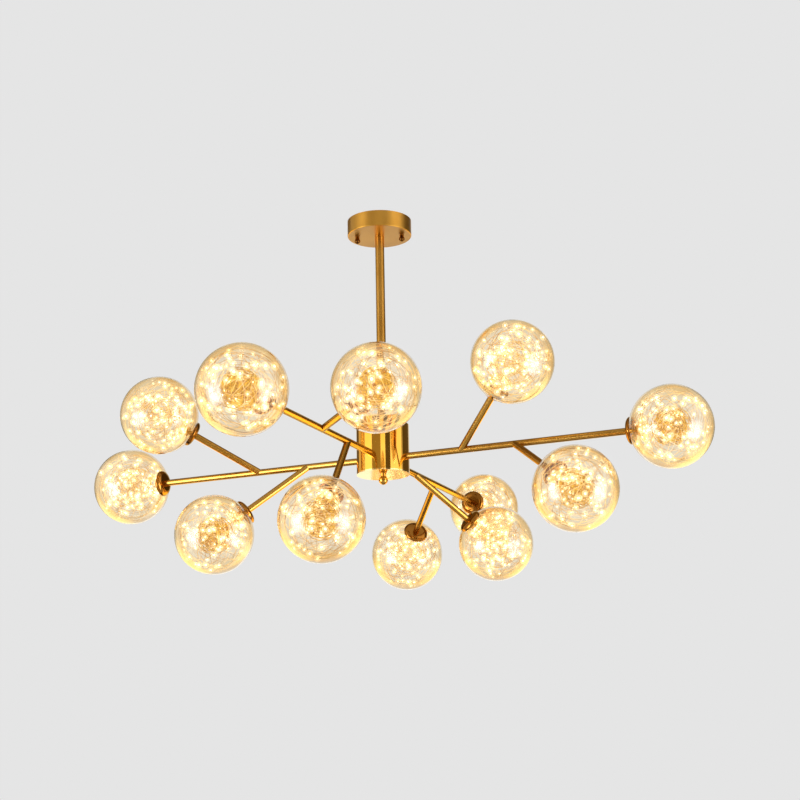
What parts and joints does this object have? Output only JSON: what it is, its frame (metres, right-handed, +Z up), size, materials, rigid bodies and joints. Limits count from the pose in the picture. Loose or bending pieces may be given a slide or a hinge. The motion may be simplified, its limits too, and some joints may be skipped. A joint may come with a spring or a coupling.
{
  "type": "globe chandelier",
  "caption": "Brass ceiling chandelier: a drum hub on a stem carries branched arms that roll, each with clear glass globes filled with fairy-light wire.",
  "frame": {"origin": "centre of the ceiling bracket, on the plane of the ceiling", "axes": "+Z up into the ceiling; +X along the ceiling bracket, through both screw slots and ball nuts"},
  "size_m": [0.9672, 0.9672, 0.5764],
  "materials": {
    "polished_brass": "polished, warm gold",
    "lampholder_brass": "satin",
    "clear_glass": "clear, pale champagne tint",
    "copper_wire": "clear lacquer over copper wire",
    "light_bead": "clear drop, lit warm white",
    "plated_steel": "zinc plated",
    "terminal_plastic": "moulded",
    "driver_plastic": "moulded",
    "cable_sheath": "clear gold sheath"
  },
  "bodies": {
    "fixture": {"ceiling_bracket": "plated_steel", "bracket_studs": "plated_steel", "bracket_stud_nuts": "plated_steel", "ceiling_terminal_block": "terminal_plastic", "canopy": "polished_brass", "canopy_ball_nuts": "polished_brass", "canopy_lock_nut": "plated_steel", "stem": "polished_brass", "hub_shell": "polished_brass", "hub_lock_nut": "plated_steel", "hub_strap": "plated_steel", "led_driver": "driver_plastic", "tie_rod": "plated_steel", "hub_bottom_plate": "polished_brass", "finial": "polished_brass", "arm_sockets": "plated_steel", "arm_lock_nuts": "plated_steel", "supply_cable": "cable_sheath", "hub_jumpers": "cable_sheath"},
    "right_arm": {"right_arm_tube": "polished_brass", "right_arm_branches": "polished_brass", "right_arm_leads": "cable_sheath", "right_arm_cups": "polished_brass", "right_arm_lampholders": "lampholder_brass", "right_arm_light_wires": "copper_wire", "right_arm_light_beads": "light_bead"},
    "right_inner_globe": {"right_inner_globe": "clear_glass"},
    "right_outer_globe": {"right_outer_globe": "clear_glass"},
    "right_tip_globe": {"right_tip_globe": "clear_glass"},
    "rear_arm": {"rear_arm_tube": "polished_brass", "rear_arm_branches": "polished_brass", "rear_arm_leads": "cable_sheath", "rear_arm_cups": "polished_brass", "rear_arm_lampholders": "lampholder_brass", "rear_arm_light_wires": "copper_wire", "rear_arm_light_beads": "light_bead"},
    "rear_inner_globe": {"rear_inner_globe": "clear_glass"},
    "rear_outer_globe": {"rear_outer_globe": "clear_glass"},
    "rear_tip_globe": {"rear_tip_globe": "clear_glass"},
    "left_arm": {"left_arm_tube": "polished_brass", "left_arm_branches": "polished_brass", "left_arm_leads": "cable_sheath", "left_arm_cups": "polished_brass", "left_arm_lampholders": "lampholder_brass", "left_arm_light_wires": "copper_wire", "left_arm_light_beads": "light_bead"},
    "left_inner_globe": {"left_inner_globe": "clear_glass"},
    "left_outer_globe": {"left_outer_globe": "clear_glass"},
    "left_tip_globe": {"left_tip_globe": "clear_glass"},
    "front_arm": {"front_arm_tube": "polished_brass", "front_arm_branches": "polished_brass", "front_arm_leads": "cable_sheath", "front_arm_cups": "polished_brass", "front_arm_lampholders": "lampholder_brass", "front_arm_light_wires": "copper_wire", "front_arm_light_beads": "light_bead"},
    "front_inner_globe": {"front_inner_globe": "clear_glass"},
    "front_outer_globe": {"front_outer_globe": "clear_glass"},
    "front_tip_globe": {"front_tip_globe": "clear_glass"}
  },
  "joints": [
    {"name": "right_arm_roll", "type": "hinge", "parent": "fixture", "child": "right_arm", "pos_m": [0, 0, -0.382], "axis": [0.9563, -0.2924, 0], "range_deg": [-180, 180]},
    {"name": "right_inner_globe_unscrew", "type": "hinge", "parent": "right_arm", "child": "right_inner_globe", "pos_m": [0.20487, -0.16253, -0.28647], "axis": [0.4714, -0.7022, 0.5337], "range_deg": [0, 450]},
    {"name": "right_outer_globe_unscrew", "type": "hinge", "parent": "right_arm", "child": "right_outer_globe", "pos_m": [0.2852, -0.18708, -0.47752], "axis": [0.4714, -0.7022, -0.5337], "range_deg": [0, 450]},
    {"name": "right_tip_globe_unscrew", "type": "hinge", "parent": "right_arm", "child": "right_tip_globe", "pos_m": [0.42364, -0.12952, -0.382], "axis": [0.9563, -0.2924, 0], "range_deg": [0, 450]},
    {"name": "rear_arm_roll", "type": "hinge", "parent": "fixture", "child": "rear_arm", "pos_m": [0, 0, -0.382], "axis": [0.2924, 0.9563, 0], "range_deg": [-180, 180]},
    {"name": "rear_inner_globe_unscrew", "type": "hinge", "parent": "rear_arm", "child": "rear_inner_globe", "pos_m": [0.15762, 0.20637, -0.48239], "axis": [0.6747, 0.4797, -0.5609], "range_deg": [0, 450]},
    {"name": "rear_outer_globe_unscrew", "type": "hinge", "parent": "rear_arm", "child": "rear_outer_globe", "pos_m": [-0.00027, 0.34248, -0.4724], "axis": [-0.3445, 0.7914, -0.505], "range_deg": [0, 450]},
    {"name": "rear_tip_globe_unscrew", "type": "hinge", "parent": "rear_arm", "child": "rear_tip_globe", "pos_m": [0.12952, 0.42364, -0.382], "axis": [0.2924, 0.9563, 0], "range_deg": [0, 450]},
    {"name": "left_arm_roll", "type": "hinge", "parent": "fixture", "child": "left_arm", "pos_m": [0, 0, -0.382], "axis": [-0.9563, 0.2924, 0], "range_deg": [-180, 180]},
    {"name": "left_inner_globe_unscrew", "type": "hinge", "parent": "left_arm", "child": "left_inner_globe", "pos_m": [-0.25657, -0.00658, -0.48989], "axis": [-0.7602, -0.2425, -0.6027], "range_deg": [0, 450]},
    {"name": "left_outer_globe_unscrew", "type": "hinge", "parent": "left_arm", "child": "left_outer_globe", "pos_m": [-0.34467, -0.00744, -0.3007], "axis": [-0.8036, -0.3846, 0.4542], "range_deg": [0, 450]},
    {"name": "left_tip_globe_unscrew", "type": "hinge", "parent": "left_arm", "child": "left_tip_globe", "pos_m": [-0.42364, 0.12952, -0.382], "axis": [-0.9563, 0.2924, 0], "range_deg": [0, 450]},
    {"name": "front_arm_roll", "type": "hinge", "parent": "fixture", "child": "front_arm", "pos_m": [0, 0, -0.382], "axis": [-0.2924, -0.9563, 0], "range_deg": [-180, 180]},
    {"name": "front_inner_globe_unscrew", "type": "hinge", "parent": "front_arm", "child": "front_inner_globe", "pos_m": [-0.05767, -0.23693, -0.51635], "axis": [-0.1164, -0.6505, -0.7506], "range_deg": [0, 450]},
    {"name": "front_outer_globe_unscrew", "type": "hinge", "parent": "front_arm", "child": "front_outer_globe", "pos_m": [0.03275, -0.35241, -0.36788], "axis": [0.526, -0.8468, 0.0789], "range_deg": [0, 450]},
    {"name": "front_tip_globe_unscrew", "type": "hinge", "parent": "front_arm", "child": "front_tip_globe", "pos_m": [-0.12952, -0.42364, -0.382], "axis": [-0.2924, -0.9563, 0], "range_deg": [0, 450]}
  ]
}
